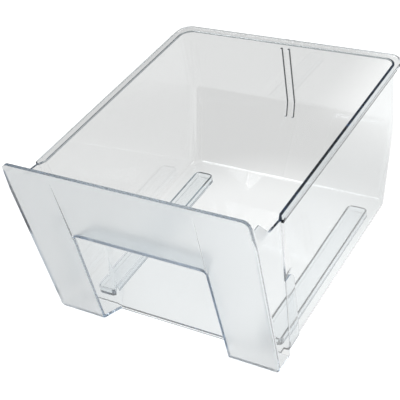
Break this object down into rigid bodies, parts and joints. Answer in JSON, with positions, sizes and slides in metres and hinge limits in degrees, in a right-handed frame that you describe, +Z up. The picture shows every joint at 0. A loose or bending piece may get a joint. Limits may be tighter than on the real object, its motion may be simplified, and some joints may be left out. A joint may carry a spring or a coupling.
{
  "type": "crisper drawer",
  "caption": "Clear crisper drawer: open-topped tub with a rim flange, raked front with a finger recess, and runners under the floor.",
  "frame": {"origin": "middle of the drawer's bounding box, on the surface that it stands on", "axes": "+X to the right seen from the front, +Y from the front to the back, +Z up"},
  "size_m": [0.2332, 0.285, 0.1735],
  "materials": {
    "tub": "clear polystyrene, polished",
    "front_panel": "clear polystyrene, polished, faint blue cast",
    "runner": "clear polystyrene, polished"
  },
  "bodies": {
    "root": {"tub": "tub", "front_panel": "front_panel", "runner_left": "runner", "runner_right": "runner"}
  },
  "joints": []
}
